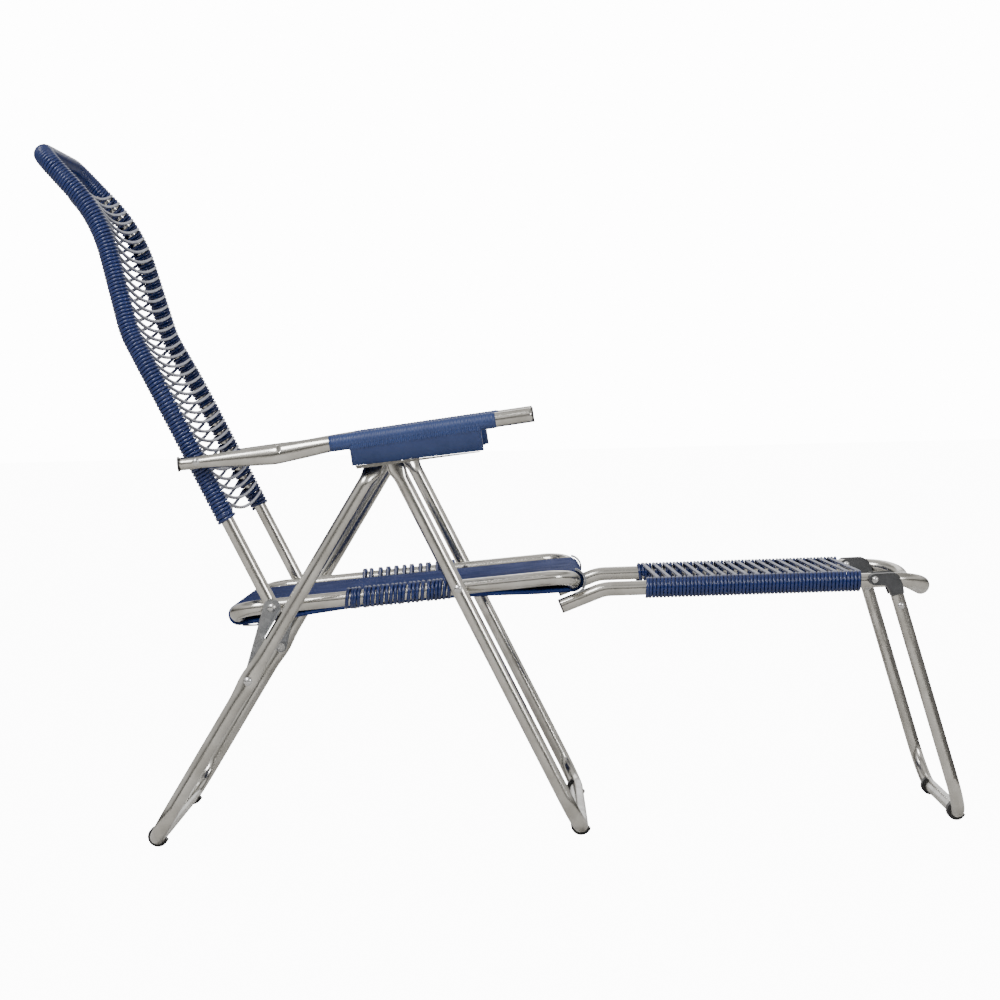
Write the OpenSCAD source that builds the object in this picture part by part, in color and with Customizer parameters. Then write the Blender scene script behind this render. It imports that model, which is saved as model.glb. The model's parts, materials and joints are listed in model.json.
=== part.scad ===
// Folding beach chair with a cord-wound seat, a reclining back, armrests and a footrest.
// Millimetres, +Z up, +X towards the footrest. The origin lies on the floor, midway along the chair.

/* [Tubes] */
// Diameter of the seat, leg, armrest and footrest tubes
tube_d = 22; // [20:0.5:24]
// Diameter of the backrest tube and of the footrest leg tube
slim_d = 20; // [18:0.5:21]
// Wall thickness of the tubes
wall = 1.5; // [1:0.1:2]
// Diameter of the plastic cord
cord_d = 5.6; // [4:0.1:6]

/* [Side view] */
// Front seat bolt: height above the floor
bolt_z = 378; // [360:1:395]
// Front seat bolt: distance behind the origin
bolt_back = 65; // [60:1:70]
// Distance between the front and rear seat bolts, along X
bolt_span = 274.5; // [270:0.5:280]
// Slope of the seat, rising towards the front
seat_slope = 4.4; // [3:0.1:6]
// Leg pivot under the armrest: distance behind the origin
apex_back = 165.6; // [160:0.1:170]
// Leg pivot under the armrest: height above the floor
apex_z = 587.7; // [580:0.1:595]
// Rear floor bar: distance behind the origin
rear_foot_back = 523; // [510:1:535]
// Footrest floor bar: distance in front of the origin
step_foot_x = 680; // [670:1:690]

/* [Widths] */
// Half the distance between the seat side tubes
seat_half = 237; // [235:1:238]
// Half the distance between the backrest side tubes
back_half = 264; // [263.5:0.5:265]
// Half the width of the backrest at its top corners
back_top_half = 168; // [150:1:190]
// Half the distance between the front legs
front_half = 265; // [264.5:0.5:266]
// Half the distance between the rear legs
rear_half = 291; // [290.5:0.5:292]
// Half the distance between the armrest grips
arm_half = 298; // [297:0.5:300]
// Half the distance between the footrest side tubes
step_half = 182; // [176:1:186]
// Half the distance between the footrest legs
step_leg_half = 207; // [205:1:210]

/* [Fits] */
// Radius of the pivot bolts
bolt_r = 3.15; // [3:0.05:4]
// Running clearance between a bolt and its hole
fit = 0.06; // [0.02:0.01:0.1]
// Depth that the seat and footrest cross bars are bowed down
bar_drop = 12; // [8:1:14]

/* [Hidden] */
$fn = 40;
tube_r = tube_d / 2;
slim_r = slim_d / 2;
hole_r = bolt_r + fit;
gap = 0.3;
eps = 0.01;
wrap_r = tube_r + cord_d;        // outside of the cord on a thick tube
slim_wrap_r = slim_r + cord_d;   // outside of the cord on a slim tube
seat_fall = tan(seat_slope);

// Side-view points as [x, z]
front_bolt = [-bolt_back, bolt_z];
rear_bolt = [-bolt_back - bolt_span, bolt_z - bolt_span * seat_fall];
apex = [-apex_back, apex_z];
clip_wall = 4.5;
foot_z = tube_r + clip_wall;
slim_foot_z = slim_r + clip_wall;
rear_foot = [-rear_foot_back, foot_z];
front_leg_dir = unit(front_bolt - apex);
front_foot = apex + front_leg_dir * (foot_z - apex.y) / front_leg_dir.y;
rear_leg_dir = unit(rear_foot - apex);

// The link rivet is where the four pivots fall into one line when the chair is folded
fold_reach = norm(front_bolt - apex) + norm(rear_bolt - front_bolt);
apex_to_bolt = apex - rear_bolt;
rivet_down = (fold_reach * fold_reach - apex_to_bolt * apex_to_bolt)
    / (2 * (rear_leg_dir * apex_to_bolt + fold_reach));
link_rivet = apex + rear_leg_dir * rivet_down;

// Seat
seat_rear_x = -399;
seat_front_x = 106;
seat_corner_r = 42;
bar_half = 183;
function seat_z(x) = bolt_z + (x + bolt_back) * seat_fall;
seat_rear_bar = [seat_rear_x, seat_z(seat_rear_x) - bar_drop];
seat_front_bar = [seat_front_x, seat_z(seat_front_x) - bar_drop];
cross_rear_x = -237;
cross_front_x = -75;

// Backrest, from the rear seat bolt to the top corner
back_low = [-501.9, 690];
back_waist = [-542.5, 767.5];
back_neck = [-587.7, 941];
back_top = [-679.5, 1043.5];
back_low_len = norm(back_waist - back_low);
back_mid_len = norm(back_neck - back_waist);
back_up_len = norm(back_top - back_neck);
back_all_len = back_low_len + back_mid_len + back_up_len;
function back_taper(s) = back_half + (back_top_half - back_half) * s / back_all_len;
waist_half = back_taper(back_low_len);
neck_half = back_taper(back_low_len + back_mid_len);
back_dir = unit(back_low - rear_bolt);
back_tail = 14;                  // tube below the rear seat bolt
wrap_start = 150;                // bare tube above the rear seat bolt
back_start = rear_bolt - back_dir * back_tail;
back_wrap_start = rear_bolt + back_dir * wrap_start;

// Armrest
arm_rear = [-468, 571.7];
arm_bend = [-328, 581.5];
arm_mid = [-248, 595.8];
arm_front = [49.83, 631.86];
arm_rivet = [-442.8, 574.6];
arm_rear_half = 291;
arm_slope = atan2(arm_front.y - arm_mid.y, arm_front.x - arm_mid.x);
arm_dir = [cos(arm_slope), sin(arm_slope)];
pad_start = 1;                   // along the grip, from arm_mid
pad_len = 245;
pad_r = tube_r + 1.6;
box_start = 28;
box_len = 196;
box_in = 264;                    // inner and outer faces of the rack box
box_out = 308.5;
box_wall = 2.5;
box_rear_depth = 36;
box_front_depth = 41.5;
box_top = 3;
rack_t = 3;
rack_y = 275.3;
rack_pitch = 15.6;
rack_clear = 3.2;
apex_along = (apex - arm_mid) * arm_dir;
apex_under = (apex - arm_mid) * [-arm_dir.y, arm_dir.x];

// Leg tabs at the apex
tab_t = 3;
tab_r = 10;
front_tab_len = 44;
rear_tab_len = 60;
front_tab_y = 271;
rear_tab_y = 279.6;
pin_r = 4;
leg_corner_r = 55;

// Link plates
plate_t = 2;
plate_y = 276.4;
lip_out = 22;

// Footrest
step_rear = [88, 342.6];
step_bend = [152, 366.6];
step_end = [639, 371];
step_hinge = [555, 373.5];
step_slope = atan2(step_end.y - step_bend.y, step_end.x - step_bend.x);
step_foot = [step_foot_x, slim_foot_z];
step_leg_dir = unit(step_foot - [592.6, 334.5]);
step_leg_top = [592.6, 334.5] - step_leg_dir * 16;
step_rivet = step_leg_top + step_leg_dir * 17;
step_wrap_from = 216;
step_wrap_to = 541;
step_drop = 18;
hook_pivot = [106, seat_z(seat_front_x) - bar_drop];

function unit(v) = v / norm(v);
function at(p, y) = [p.x, y, p.y];

// Euler angles of the frame whose X and Z axes are ux and uz
function turn(ux, uz) = let (uy = cross(uz, ux))
    abs(ux.z) > 0.99999 ? [atan2(-uz.y, -ux.z * uz.x), -90 * sign(ux.z), 0]
    : [atan2(uy.z, uz.z), -asin(max(-1, min(1, ux.z))), atan2(ux.y, ux.x)];
function inward(d1, d2) = unit(d2 - (d2 * d1) * d1);
function bend_angle(d1, d2) = acos(max(-1, min(1, d1 * d2)));
function next(pts, i) = pts[(i + 1) % len(pts)];
function prior(pts, i) = pts[(i + len(pts) - 1) % len(pts)];
function is_corner(pts, i, closed) = closed || (i > 0 && i < len(pts) - 1);
function trim(pts, radii, i, closed) = !is_corner(pts, i, closed) ? 0
    : radii[i] * tan(bend_angle(unit(pts[i] - prior(pts, i)), unit(next(pts, i) - pts[i])) / 2);
// Straight bars run a little way into the bends, which are a hair thinner, so that they join cleanly
bend_slim = 0.04;
function lap(radii, i) = radii[i] > 0 ? min(1, radii[i] / 40) : 0;

// Straight round bar from a to b
module bar(a, b, r) {
    d = unit(b - a);
    up = abs(d.z) > 0.9 ? [1, 0, 0] : [0, 0, 1];
    translate(a) rotate(turn(unit(cross(up, d)), d)) cylinder(r = r, h = norm(b - a));
}

// Round bar along a line of points, each corner rounded with its own bend radius
module bent_bar(pts, radii, r, closed = false) {
    n = len(pts);
    for (i = [0 : closed ? n - 1 : n - 2]) {
        j = (i + 1) % n;
        d = unit(pts[j] - pts[i]);
        from = trim(pts, radii, i, closed) - lap(radii, i);
        to = trim(pts, radii, j, closed) - lap(radii, j);
        bar(pts[i] + d * from, pts[j] - d * to, r);
    }
    for (i = [0 : n - 1]) if (is_corner(pts, i, closed)) {
        d1 = unit(pts[i] - prior(pts, i));
        d2 = unit(next(pts, i) - pts[i]);
        inner = inward(d1, d2);
        start = pts[i] - d1 * trim(pts, radii, i, closed);
        translate(start + inner * radii[i]) rotate(turn(-inner, cross(d1, inner)))
            rotate_extrude(angle = bend_angle(d1, d2)) translate([radii[i], 0]) circle(r = r - bend_slim);
    }
}

// Socket for a plug in the end of a tube, from the end point p inwards along d
module socket(p, d, depth, r) {
    bar(p - d, p + d * depth, r - wall);
}

// Pin along Y between two Y values, at a side-view point
module cross_pin(p, y0, y1, r) {
    translate([p.x, min(y0, y1), p.y]) rotate([-90, 0, 0]) cylinder(r = r, h = abs(y1 - y0));
}

// Shallow domed head, its flat face at y and its dome pointing outwards
module dome_head(p, y, r, h) {
    ball = (r * r + h * h) / (2 * h);
    out = y < 0 ? 90 : -90;
    translate([p.x, y, p.y]) rotate([out, 0, 0]) rotate_extrude() intersection() {
        translate([0, h - ball]) circle(r = ball);
        square([r, h]);
    }
}

module both_sides() {
    children();
    mirror([0, 1, 0]) children();
}

module only_side(near) {
    if (near) children();
    if (!near) mirror([0, 1, 0]) children();
}

// ---- Seat ----
function seat_path() = let (rx = seat_rear_x, fx = seat_front_x, h = seat_half, b = bar_half)
    [[fx, -h, seat_z(fx)], [fx, -b, seat_front_bar.y], [fx, b, seat_front_bar.y], [fx, h, seat_z(fx)],
     [rx, h, seat_z(rx)], [rx, b, seat_rear_bar.y], [rx, -b, seat_rear_bar.y], [rx, -h, seat_z(rx)]];
seat_radii = [seat_corner_r, 60, 60, seat_corner_r, seat_corner_r, 60, 60, seat_corner_r];

module seat_frame() color("silver") difference() {
    bent_bar(seat_path(), seat_radii, tube_r, true);
    cross_pin(front_bolt, -300, 300, hole_r);
    cross_pin(rear_bolt, -300, 300, hole_r);
}

module racetrack(a, b, r) {
    d = unit(b - a);
    n = [-d.y, d.x];
    translate(a) circle(r = r);
    translate(b) circle(r = r);
    polygon([a + n * r, b + n * r, b - n * r, a - n * r]);
}

// Lengthwise cords: one flat loop round the front and rear bars
module seat_cord_band() color("navy") translate([0, bar_half - 8, 0]) rotate([90, 0, 0])
    linear_extrude(2 * (bar_half - 8)) difference() {
        racetrack(seat_rear_bar, seat_front_bar, wrap_r);
        racetrack(seat_rear_bar, seat_front_bar, tube_r + 0.1);
    }

// Crosswise cords: sleeves on the side tubes, joined by a layer inside the band
module seat_cross_cords() color("midnightblue") {
    layer = 8;
    rear = seat_z(cross_rear_x);
    front = seat_z(cross_front_x);
    difference() {
        union() {
            both_sides() bar([cross_rear_x, -seat_half, rear], [cross_front_x, -seat_half, front], wrap_r);
            translate([0, seat_half, 0]) rotate([90, 0, 0]) linear_extrude(2 * seat_half)
                polygon([[cross_rear_x, rear - bar_drop - layer], [cross_front_x, front - bar_drop - layer],
                         [cross_front_x, front - bar_drop + layer], [cross_rear_x, rear - bar_drop + layer]]);
        }
        both_sides() bar([cross_rear_x - 5, -seat_half, seat_z(cross_rear_x - 5)],
                         [cross_front_x + 5, -seat_half, seat_z(cross_front_x + 5)], tube_r + 0.1);
    }
}

module leg_bolts() color("gainsboro") both_sides() {
    inner = seat_half - tube_r;
    cross_pin(front_bolt, -inner + 4, -front_half - tube_r - 0.02, bolt_r);
    cross_pin(front_bolt, -inner + 4, -inner + gap, 5.5);
    dome_head(front_bolt, -front_half - tube_r - 0.02, 6, 2.4);
}

// Spacers between the seat tube and what turns beside it
module seat_spacers() color("gray") both_sides() {
    y = seat_half + tube_r;
    difference() {
        cross_pin(front_bolt, -y - 0.1, -front_half + tube_r + 0.2, 7);
        cross_pin(front_bolt, -y + 1, -front_half, hole_r);
    }
    difference() {
        cross_pin(rear_bolt, -y - 0.1, -back_half + slim_r + 0.2, 7);
        cross_pin(rear_bolt, -y + 1, -back_half, hole_r);
    }
}

// Small bent wires under the rear bar
module seat_catch_wire() color("silver") both_sides() {
    z = seat_rear_bar.y - wrap_r - 1.6;
    bent_bar([[-396, -150, z], [-374, -150, z], [-374, -96, z], [-396, -96, z]], [0, 6, 6, 0], 1.5);
}

// ---- Front legs ----
module leg_frame(foot, dir, half, tube_top, tab_y, r, corner) {
    top = apex + dir * tube_top;
    difference() {
        union() {
            bent_bar([at(top, -half), at(foot, -half), at(foot, half), at(top, half)],
                      [0, corner, corner, 0], r);
            both_sides() leg_tab(dir, tube_top, tab_y);
        }
        cross_pin(apex, -320, 320, pin_r + fit);
    }
}

// Flattened top of a leg, round at the apex, let into the tube end
module leg_tab(dir, reach, y) {
    n = [-dir.y, dir.x];
    far = apex + dir * (reach + 8);
    translate([0, -y, 0]) rotate([90, 0, 0]) linear_extrude(tab_t) {
        translate(apex) circle(r = tab_r);
        polygon([apex + n * tab_r, far + n * tab_r * 0.86, far - n * tab_r * 0.86, apex - n * tab_r]);
    }
}

module front_leg_frame() color("silver") difference() {
    leg_frame(front_foot, front_leg_dir, front_half, front_tab_len, front_tab_y, tube_r, leg_corner_r);
    cross_pin(front_bolt, -300, 300, hole_r);
}

// Open plastic ring pressed on a floor bar
module foot_clip(foot, y, r, len) {
    difference() {
        cross_pin(foot, y, y + len, r + clip_wall);
        cross_pin(foot, y - 1, y + len + 1, r + 0.02);
        translate([foot.x, y - 1, foot.y + r * 0.75]) rotate([0, 45, 0]) cube([60, len + 2, 60]);
        translate([foot.x, y - 1, foot.y + r * 0.75]) rotate([0, -45, 0]) cube([60, len + 2, 60]);
    }
}

module front_feet() color("black") both_sides() foot_clip(front_foot, -front_half + leg_corner_r, tube_r, 16);

module leg_pins() color("gainsboro") both_sides() {
    outer = rear_tab_y + tab_t + 0.3;
    cross_pin(apex, -front_tab_y + 2, -outer - 1.4, pin_r);
    cross_pin(apex, -front_tab_y + 2.6, -front_tab_y, 6.5);
    cross_pin(apex, -outer, -outer - 1.6, 5.5);
}

// ---- Rear legs ----
module rear_leg_frame() color("silver") difference() {
    leg_frame(rear_foot, rear_leg_dir, rear_half, rear_tab_len, rear_tab_y, tube_r, leg_corner_r + 5);
    cross_pin(link_rivet, -320, 320, hole_r);
}

module rear_feet() color("black") both_sides() foot_clip(rear_foot, -rear_half + leg_corner_r + 5, tube_r, 16);

// Rivet of the link pivot, through the plate, with the spacer that keeps the plate off the leg
module link_rivets() color("gainsboro") both_sides() {
    outer = rear_half + tube_r;
    cross_pin(link_rivet, -plate_y + 2.2, -outer - 0.1, bolt_r);
    cross_pin(link_rivet, -plate_y + 2.2, -plate_y + 0.2, 6.5);
    cross_pin(link_rivet, -plate_y - plate_t - gap, -rear_half + tube_r + 0.1, 7);
    dome_head(link_rivet, -outer - 0.1, 6.5, 3);
}

// ---- Link plates ----
// Flat plate from the rear seat bolt to the link rivet, with a lip folded out beside the leg
module link_plate(near) {
    run = link_rivet - rear_bolt;
    d = unit(run);
    n = [-d.y, d.x];
    lip_at = rear_leg_dir;
    lip_n = [-rear_leg_dir.y, rear_leg_dir.x];
    lip_top = link_rivet - lip_at * 112 - lip_n * (tube_r + 1.2);
    lip_low = link_rivet - lip_at * 66 - lip_n * (tube_r + 1.2);
    color("lightslategray") only_side(near) difference() {
        union() {
            translate([0, -plate_y, 0]) rotate([90, 0, 0]) linear_extrude(plate_t) {
                translate(rear_bolt) circle(r = 13);
                translate(link_rivet) circle(r = 9);
                polygon([rear_bolt - n * 13, link_rivet - n * 9, link_rivet + n * 9, lip_low, lip_top,
                         rear_bolt + d * -8 + n * 10]);
            }
            translate([0, -plate_y, 0]) rotate([90, 0, 0]) linear_extrude(lip_out)
                polygon([lip_top, lip_low, lip_low - lip_n * plate_t, lip_top - lip_n * plate_t]);
        }
        cross_pin(link_rivet, -300, 0, hole_r);
    }
}

module link_plate_near() link_plate(true);
module link_plate_far() link_plate(false);

// Domed bolt head on the outer face of a link plate, in line with the rear seat bolt
module link_caps_near() color("gainsboro") dome_head(rear_bolt, -plate_y - plate_t, 6.5, 2.8);
module link_caps_far() color("gainsboro") dome_head(rear_bolt, plate_y + plate_t, 6.5, 2.8);

// ---- Backrest ----
function back_path(start, y) = [at(start, y), at(back_low, y), at(back_waist, sign(y) * waist_half),
    at(back_neck, sign(y) * neck_half), at(back_top, sign(y) * back_top_half)];
function reversed(v) = [for (i = [len(v) - 1 : -1 : 0]) v[i]];
back_radii = [0, 260, 150, 260, 52, 52, 260, 150, 260, 0];
function back_line(start) = concat(back_path(start, -back_half), reversed(back_path(start, back_half)));

module backrest_bolts() color("gainsboro") both_sides() {
    inner = seat_half - tube_r;
    cross_pin(rear_bolt, -inner + 4.4, -plate_y + 0.4, bolt_r);
    cross_pin(rear_bolt, -inner + 4.4, -inner + gap, 5.5);
    cross_pin(rear_bolt, -back_half - slim_r - 0.2, -plate_y + 0.2, 7);
}

module backrest_frame() color("silver") difference() {
    bent_bar(back_line(back_start), back_radii, slim_r);
    cross_pin(rear_bolt, -300, 300, hole_r);
    cross_pin(arm_rivet, -300, 300, hole_r);
}

// Cord wound round the side tubes and the top bar
module backrest_cord_sleeve() color("navy") difference() {
    bent_bar(back_line(back_wrap_start), back_radii, slim_wrap_r);
    bent_bar(back_line(back_wrap_start - back_dir * 2), back_radii, slim_r + 0.1);
    cross_pin(arm_rivet, -300, 300, 8);
}

// Cord strands that cross between the side tubes, as one curved slab
back_rows = 24;
panel_low = wrap_start + 3;
function back_curve(t) = let (total = norm(back_low - rear_bolt) + back_all_len, s = panel_low
    + t * (total - 22 - panel_low), a = norm(back_low - rear_bolt), b = a + back_low_len,
    c = b + back_mid_len)
    s < a ? concat(rear_bolt + (back_low - rear_bolt) * s / a, [back_half])
    : s < b ? concat(back_low + (back_waist - back_low) * (s - a) / back_low_len, [back_taper(s - a)])
    : s < c ? concat(back_waist + (back_neck - back_waist) * (s - b) / back_mid_len, [back_taper(s - a)])
    : concat(back_neck + (back_top - back_neck) * (s - c) / back_up_len, [back_taper(s - a)]);
function back_normal(t) = let (p = back_curve(max(0, t - 0.03)), q = back_curve(min(1, t + 0.03)),
    d = unit([q.x - p.x, q.y - p.y])) [d.y, -d.x];
function soft_point(t, y_side, out) = let (p = back_curve(t), n = back_normal(t),
    w = min(p.z, 1000) - slim_wrap_r - 1.5) [p.x + n.x * out, y_side * (w - 40 * pow(max(0, t - 0.93) / 0.07, 2)),
    p.y + n.y * out];

module backrest_cord_panel() color("midnightblue") {
    half = slim_wrap_r - 1.5;
    rows = [for (i = [0 : back_rows]) let (t = i / back_rows)
        each [soft_point(t, -1, half), soft_point(t, 1, half), soft_point(t, 1, -half), soft_point(t, -1, -half)]];
    sides = [for (i = [0 : back_rows - 1], j = [0 : 3]) let (k = (j + 1) % 4, a = 4 * i)
        each [[a + j, a + 4 + j, a + 4 + k], [a + j, a + 4 + k, a + k]]];
    last = 4 * back_rows;
    polyhedron(rows, concat(sides, [[0, 1, 2], [0, 2, 3], [last + 2, last + 1, last], [last + 3, last + 2, last]]));
}

// ---- Armrests ----
function arm_path() = [at(arm_rear, -arm_rear_half), at(arm_bend, -arm_rear_half), at(arm_mid, -arm_half),
    at(arm_front, -arm_half)];

// Places children in the armrest's own frame: X along the grip, Z upwards, Y across
module on_grip(along) translate(at(arm_mid + arm_dir * along, 0)) rotate([0, -arm_slope, 0]) children();

module arm_rivet_pin(near) color("gainsboro") only_side(near) {
    cross_pin(arm_rivet, -back_half + slim_r + 2.4, -arm_rear_half - tube_r - 0.2, bolt_r);
    cross_pin(arm_rivet, -back_half + slim_r + 2.4, -back_half + slim_r + 0.2, 6);
    dome_head(arm_rivet, -arm_rear_half - tube_r - 0.2, 5.5, 2.4);
}

module arm_rivet_near() arm_rivet_pin(true);
module arm_rivet_far() arm_rivet_pin(false);

module armrest_tube(near) color("silver") only_side(near) difference() {
    bent_bar(arm_path(), [0, 120, 120, 0], tube_r);
    cross_pin(arm_rivet, -330, 0, hole_r);
    socket(at(arm_rear, -arm_rear_half), unit(at(arm_bend - arm_rear, 0)), 14.5, tube_r);
    socket(at(arm_front, -arm_half), unit(at(arm_mid - arm_front, 0)), 14.5, tube_r);
}

module armrest_tube_near() armrest_tube(true);
module armrest_tube_far() armrest_tube(false);

// Plastic plug: a stem inside the tube and a thin rim on its end
module plug(a, d, r) {
    bar(a - d * 2.5, a, r);
    bar(a - d * 0.5, a + d * 14, r - wall - 0.02);
}

module arm_plugs(near) color("black") only_side(near) {
    rear_d = unit(at(arm_bend - arm_rear, 0));
    front_d = unit(at(arm_mid - arm_front, 0));
    plug(at(arm_rear, -arm_rear_half), rear_d, tube_r);
    plug(at(arm_front, -arm_half), front_d, tube_r);
}

module arm_plugs_near() arm_plugs(true);
module arm_plugs_far() arm_plugs(false);

// Side view of the rack box, drawn in by w on its ends and top and dropped by low
module box_side(w, low) polygon([[box_start + w, box_top - w], [box_start + w, -box_rear_depth - low],
    [box_start + box_len - w, -box_front_depth - low], [box_start + box_len - w, box_top - w]]);

// Moulded grip pad with the hollow rack box under it, open at the bottom
module arm_pad(near) color("royalblue") only_side(near) difference() {
    union() {
        difference() {
            on_grip(0) translate([0, -box_in, 0]) rotate([90, 0, 0])
                linear_extrude(box_out - box_in) box_side(0, 0);
            on_grip(0) translate([0, -box_in - box_wall, 0]) rotate([90, 0, 0])
                linear_extrude(box_out - box_in - 2 * box_wall) box_side(box_wall, 1);
        }
        on_grip(pad_start) translate([0, -arm_half, 0]) rotate([0, 90, 0]) cylinder(r = pad_r, h = pad_len);
    }
    on_grip(pad_start - 5) translate([0, -arm_half, 0]) rotate([0, 90, 0]) cylinder(r = tube_r + 0.05, h = pad_len + 10);
}

module arm_pad_near() arm_pad(true);
module arm_pad_far() arm_pad(false);

// Notched steel strip over the leg pin, one notch for each position of the back
module rack(near) color("lightslategray") only_side(near) {
    tip = apex_under + pin_r + rack_clear;
    on_grip(0) translate([0, -rack_y, 0]) rotate([90, 0, 0]) linear_extrude(rack_t) difference() {
        translate([box_start + box_wall, tip]) square([box_len - 2 * box_wall, box_top - box_wall - tip]);
        for (i = [-3 : 7]) translate([apex_along + i * rack_pitch, tip]) circle(r = pin_r + 0.6);
    }
}

module rack_near() rack(true);
module rack_far() rack(false);

// Steel edge strip under the outer wall of the rack box, deeper at the rear
module rack_strip(near) color("silver") only_side(near)
    on_grip(0) translate([0, -box_out + 4, 0]) rotate([90, 0, 0]) linear_extrude(4.4)
        polygon([[box_start + 6, -box_rear_depth - 0.3], [box_start + 8, -box_rear_depth - 5.5],
                 [box_start + box_len - 8, -box_front_depth - 1.6], [box_start + box_len - 6, -box_front_depth - 0.2]]);

module rack_strip_near() rack_strip(true);
module rack_strip_far() rack_strip(false);

// ---- Footrest ----
step_corner_r = 60;
step_bar_half = step_half - 70;
function step_line() = [at(step_rear, -step_half), at(step_bend, -step_half), at(step_end, -step_half),
    at(step_end - [2, step_drop], -step_bar_half), at(step_end - [2, step_drop], step_bar_half),
    at(step_end, step_half), at(step_bend, step_half), at(step_rear, step_half)];
step_radii = [0, 60, step_corner_r, 80, 80, step_corner_r, 60, 0];
function step_z(x) = step_bend.y + (x - step_bend.x) * tan(step_slope);

module footrest_frame() color("silver") difference() {
    bent_bar(step_line(), step_radii, tube_r);
    cross_pin(step_hinge, -300, 300, hole_r);
    both_sides() socket(at(step_rear, -step_half), unit(at(step_bend - step_rear, 0)), 14.5, tube_r);
}

module footrest_cord_sleeves() color("navy") both_sides() difference() {
    bar([step_wrap_from, -step_half, step_z(step_wrap_from)], [step_wrap_to, -step_half, step_z(step_wrap_to)], wrap_r);
    bar([step_wrap_from - 5, -step_half, step_z(step_wrap_from - 5)],
        [step_wrap_to + 5, -step_half, step_z(step_wrap_to + 5)], tube_r + 0.1);
}

module footrest_cord_panel() color("midnightblue") {
    half = wrap_r - 1.5;
    edge = step_half - wrap_r - 1.5;
    translate([0, edge, 0]) rotate([90, 0, 0]) linear_extrude(2 * edge)
        polygon([[step_wrap_from + 3, step_z(step_wrap_from) - half], [step_wrap_to - 3, step_z(step_wrap_to) - half],
                 [step_wrap_to - 3, step_z(step_wrap_to) + half], [step_wrap_from + 3, step_z(step_wrap_from) + half]]);
}

module footrest_plugs() color("black") both_sides()
    plug(at(step_rear, -step_half), unit(at(step_bend - step_rear, 0)), tube_r);

// Saddle that hangs the footrest on the front bar of the seat
module footrest_hooks() color("lightslategray") both_sides() {
    d = unit(step_bend - step_rear);
    base = step_rear + d * 38;
    difference() {
        union() {
            translate([0, -step_half + 7, 0]) rotate([90, 0, 0]) linear_extrude(14) {
                translate(hook_pivot) intersection() {
                    circle(r = wrap_r + 3.2);
                    translate([3, -30]) square([25, 60]);
                }
                polygon([base, base + d * 26, hook_pivot + [14, -13], hook_pivot + [0, -18]]);
            }
        }
        cross_pin(hook_pivot, -step_half - 10, -step_half + 10, wrap_r + 0.4);
        bar(at(step_rear - d * 10, -step_half), at(step_bend, -step_half), tube_r + 0.02);
    }
}

module footrest_pins() color("gainsboro") both_sides() {
    head = -step_half + tube_r + cheek_gap + cheek_t + 0.3;
    cross_pin(step_hinge, head + 0.5, -step_leg_half - 13, bolt_r);
    dome_head(step_hinge, -step_leg_half - 13, 5.2, 2.8);
    translate([0, 2 * head, 0]) mirror([0, 1, 0]) dome_head(step_hinge, head, 5.2, 2.4);
}

module footrest_leg_frame() color("silver") difference() {
    bent_bar([at(step_leg_top, -step_leg_half), at(step_foot, -step_leg_half), at(step_foot, step_leg_half),
               at(step_leg_top, step_leg_half)], [0, 60, 60, 0], slim_r);
    cross_pin(step_rivet, -300, 300, hole_r);
    both_sides() socket(at(step_leg_top, -step_leg_half), at(step_leg_dir, 0), 31, slim_r);
}

// Plastic elbow: two cheeks on the hinge pin, a rounded knee, and a stem that plugs into the leg
cheek_t = 3;
cheek_gap = 3.4;
module elbow_side() translate(step_hinge) {
    circle(r = 8.6);
    polygon([[0, 8.6], [29, 9.2], [33, 7.6], [35.6, 4.8], [38.2, -0.6], [40.8, -8], [42.4, -15.9], [43, -20.8],
             [24.4, -25.6], [22.4, -20], [20.4, -15.2], [17.8, -11.2], [14.4, -8.9], [10.4, -8.6], [0, -8.6]]);
}

module elbow(near) color("dimgray") only_side(near) {
    y_in = step_half + tube_r + 0.6;
    y_out = step_leg_half + 12.4;
    y_cheek = step_half - tube_r - cheek_gap;
    d = step_leg_dir;
    difference() {
        union() {
            translate([0, -y_in, 0]) rotate([90, 0, 0]) linear_extrude(y_out - y_in) elbow_side();
            translate([0, -y_cheek + cheek_t, 0]) rotate([90, 0, 0]) linear_extrude(cheek_t) elbow_side();
            translate([0, -y_cheek + 1.5, 0]) rotate([90, 0, 0]) linear_extrude(y_in - y_cheek + 4)
                translate(step_hinge) polygon([[24.6, -15.8], [41, -15.8], [41.6, -20], [26.6, -23.8]]);
            bar(at(step_leg_top - d * 2, -step_leg_half), at(step_leg_top + d * 29, -step_leg_half), slim_r - wall - 0.02);
        }
        cross_pin(step_hinge, -300, 0, hole_r);
        cross_pin(step_rivet, -300, 0, hole_r);
    }
}

module elbow_near() elbow(true);
module elbow_far() elbow(false);

module elbow_rivets() color("gainsboro") both_sides() {
    outer = step_leg_half + slim_r;
    cross_pin(step_rivet, -step_leg_half + slim_r + 0.2, -outer - 0.2, bolt_r);
    cross_pin(step_rivet, -step_leg_half + slim_r + 0.2, -step_leg_half + slim_r + 1.8, 5);
    dome_head(step_rivet, -outer - 0.2, 5.2, 2.6);
}

module footrest_feet() color("black") both_sides() foot_clip(step_foot, -step_leg_half + 60, slim_r, 16);

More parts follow.
